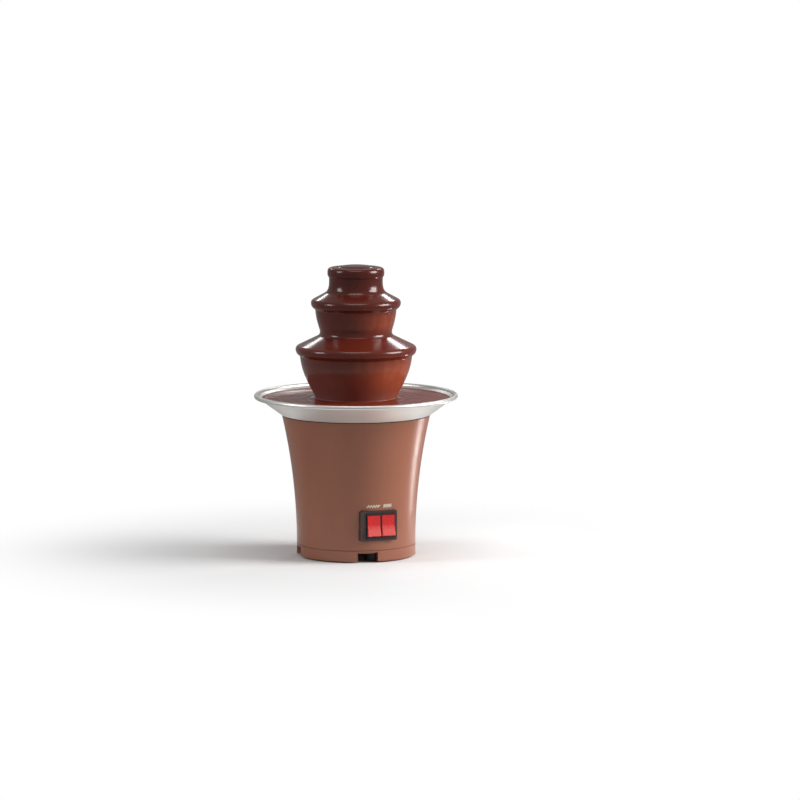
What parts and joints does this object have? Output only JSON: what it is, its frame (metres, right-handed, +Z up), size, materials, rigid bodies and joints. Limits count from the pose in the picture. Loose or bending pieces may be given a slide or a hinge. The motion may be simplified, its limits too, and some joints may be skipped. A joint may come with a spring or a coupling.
{
  "type": "chocolate fountain",
  "caption": "Tabletop chocolate fountain: flared brown motor base with lit rocker switches, wide steel bowl, and a tiered auger tower sheathed in running chocolate.",
  "frame": {"origin": "on the table under the drive axis, level with the undersides of the rubber feet", "axes": "+Z up along the drive axis, -Y towards the switch panel, +X to the right of someone facing the switches"},
  "size_m": [0.155, 0.155, 0.2217],
  "materials": {
    "brown_plastic": "semi-gloss moulded plastic, warm brown",
    "black_rubber": "matt moulded rubber",
    "fastener_steel": "bright zinc-plated steel",
    "cream_plastic": "plain moulded plastic",
    "stainless_steel": "spun stainless steel, satin with a bright rolled edge",
    "dark_silicone": "matt silicone",
    "bronze": "sintered bronze",
    "red_silicone": "matt silicone",
    "heater_aluminium": "plain die-cast aluminium",
    "mica": "mica laminate",
    "plated_steel": "zinc-plated sheet",
    "black_plastic": "satin black moulded plastic",
    "magnet_ferrite": "sintered ferrite",
    "rotor_steel": "laminated steel with copper windings",
    "gear_nylon": "natural nylon",
    "tower_plastic": "food-grade moulded plastic, dark brown",
    "chocolate": "wet flowing chocolate, mirror gloss",
    "pool_chocolate": "still chocolate, satin",
    "panel_plastic": "satin dark brown moulded plastic",
    "red_lens": "lit translucent red plastic"
  },
  "bodies": {
    "base": {"base_housing": "brown_plastic", "bottom_cover": "brown_plastic", "rubber_feet": "black_rubber", "cover_screws": "fastener_steel", "cord_gland": "black_rubber", "terminal_block": "cream_plastic", "bowl": "stainless_steel", "bowl_gasket": "dark_silicone", "bowl_studs": "fastener_steel", "hub_bush": "bronze", "shaft_seal": "red_silicone", "heater_plate": "heater_aluminium", "heating_element": "mica", "heater_clamp": "plated_steel", "heater_nuts": "fastener_steel", "thermostat": "black_plastic", "chassis_plate": "plated_steel", "chassis_nuts": "fastener_steel", "chassis_screws": "fastener_steel", "gearbox_case": "cream_plastic", "gearbox_cover": "cream_plastic", "gearbox_standoffs": "heater_aluminium", "gearbox_screws": "fastener_steel", "lower_bush": "bronze", "upper_bush": "bronze", "idler_pin": "fastener_steel", "motor_can": "plated_steel", "motor_magnets": "magnet_ferrite", "motor_endcap": "black_plastic", "motor_screws": "fastener_steel", "tower_ring": "stainless_steel", "chocolate_pool": "pool_chocolate", "switch_panel": "panel_plastic", "motor_switch": "black_plastic", "heat_switch": "black_plastic", "switch_terminals": "bronze"},
    "drive": {"drive_shaft": "fastener_steel", "output_gear": "gear_nylon", "spacer_sleeve": "bronze", "shaft_clip": "fastener_steel"},
    "idler": {"idler_gear": "gear_nylon"},
    "rotor": {"motor_rotor": "rotor_steel", "motor_pinion": "bronze"},
    "auger": {"auger": "tower_plastic", "chocolate_dome": "chocolate"},
    "tower": {"tower_tube": "tower_plastic", "lower_tier": "tower_plastic", "middle_tier": "tower_plastic", "crown": "tower_plastic", "crown_fall": "chocolate", "middle_fall": "chocolate", "lower_fall": "chocolate"},
    "motor_rocker": {"motor_rocker": "red_lens"},
    "heat_rocker": {"heat_rocker": "red_lens"}
  },
  "joints": [
    {"name": "auger_drive", "type": "hinge", "parent": "base", "child": "drive", "pos_m": [0, 0, 0.05], "axis": [0, 0, 1], "continuous": true},
    {"name": "idler_spin", "type": "hinge", "parent": "base", "child": "idler", "pos_m": [0.01687, 0.01349, 0.05], "axis": [0, 0, 1], "continuous": true},
    {"name": "rotor_spin", "type": "hinge", "parent": "base", "child": "rotor", "pos_m": [0, 0.022, 0.03], "axis": [0, 0, 1], "continuous": true},
    {"name": "auger_lift", "type": "slide", "parent": "drive", "child": "auger", "axis": [0, 0, 1], "range_m": [0, 0.13]},
    {"name": "tower_lift", "type": "slide", "parent": "base", "child": "tower", "axis": [0, 0, 1], "range_m": [0, 0.14]},
    {"name": "motor_rocker_tilt", "type": "hinge", "parent": "base", "child": "motor_rocker", "pos_m": [-0.0043, -0.0461, 0.0283], "axis": [1, 0, 0], "range_deg": [0, 18]},
    {"name": "heat_rocker_tilt", "type": "hinge", "parent": "base", "child": "heat_rocker", "pos_m": [0.0073, -0.0461, 0.0283], "axis": [1, 0, 0], "range_deg": [0, 18]}
  ],
  "couplings": [
    {"joint": "idler_spin", "follows": "auger_drive", "ratio": -3},
    {"joint": "rotor_spin", "follows": "auger_drive", "ratio": 10.5}
  ]
}
